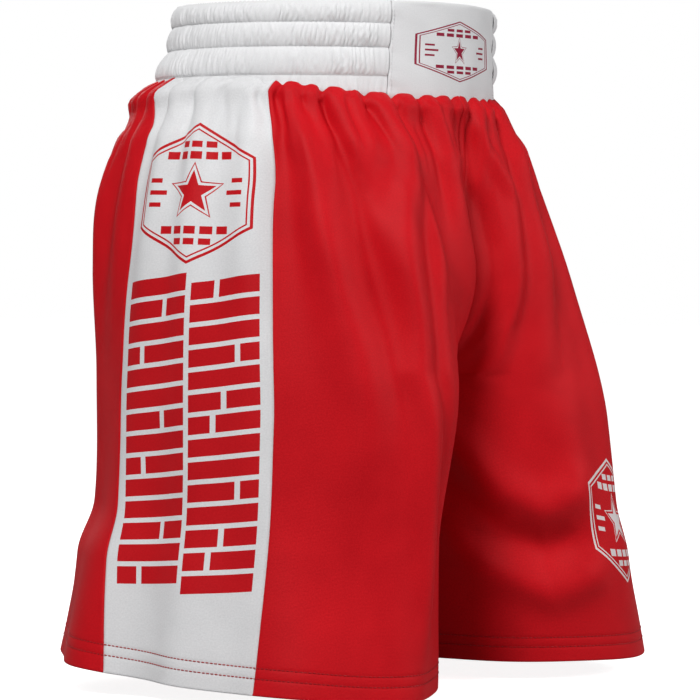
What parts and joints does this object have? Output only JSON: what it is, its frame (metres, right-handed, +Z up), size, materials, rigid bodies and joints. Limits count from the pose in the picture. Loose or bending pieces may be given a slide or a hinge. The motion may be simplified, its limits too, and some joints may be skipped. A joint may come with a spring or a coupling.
{
  "type": "boxing shorts",
  "caption": "Loose knee-length boxing shorts with a shirred elastic waistband, a flat front waist panel, wide legs and contrast side panels.",
  "frame": {"origin": "centre of the waist opening, half-way up the waistband", "axes": "+Z up out of the waist opening, -Y towards the front, +X towards the wearer's left"},
  "size_m": [0.4218, 0.33, 0.4915],
  "materials": {
    "leg_cloth": "fine-grained polyester with a soft satin sheen, red",
    "side_cloth": "fine-grained polyester with a soft satin sheen, white",
    "band_cloth": "white waistband cloth, shirred over elastic",
    "elastic": "woven elastic tape",
    "interlining": "non-woven interlining",
    "red_thread": "polyester thread, red",
    "white_thread": "polyester thread, white"
  },
  "bodies": {
    "root": {"waistband_casing": "band_cloth", "front_waist_panel": "band_cloth", "front_panel_interlining": "interlining", "elastic_upper": "elastic", "elastic_middle": "elastic", "elastic_lower": "elastic", "band_stitch_upper": "white_thread", "band_stitch_middle": "white_thread", "band_stitch_lower": "white_thread", "band_end_seam_right": "white_thread", "band_end_seam_left": "white_thread", "waist_seam": "white_thread", "right_front_panel": "leg_cloth", "right_side_panel": "side_cloth", "right_back_panel": "leg_cloth", "left_front_panel": "leg_cloth", "left_side_panel": "side_cloth", "left_back_panel": "leg_cloth", "right_side_seam_front": "red_thread", "right_side_seam_back": "red_thread", "left_side_seam_front": "red_thread", "left_side_seam_back": "red_thread", "right_inseam": "red_thread", "left_inseam": "red_thread", "front_rise_seam": "red_thread", "back_rise_seam": "red_thread", "right_hem_stitch_upper": "red_thread", "right_hem_stitch_lower": "red_thread", "left_hem_stitch_upper": "red_thread", "left_hem_stitch_lower": "red_thread"}
  },
  "joints": []
}
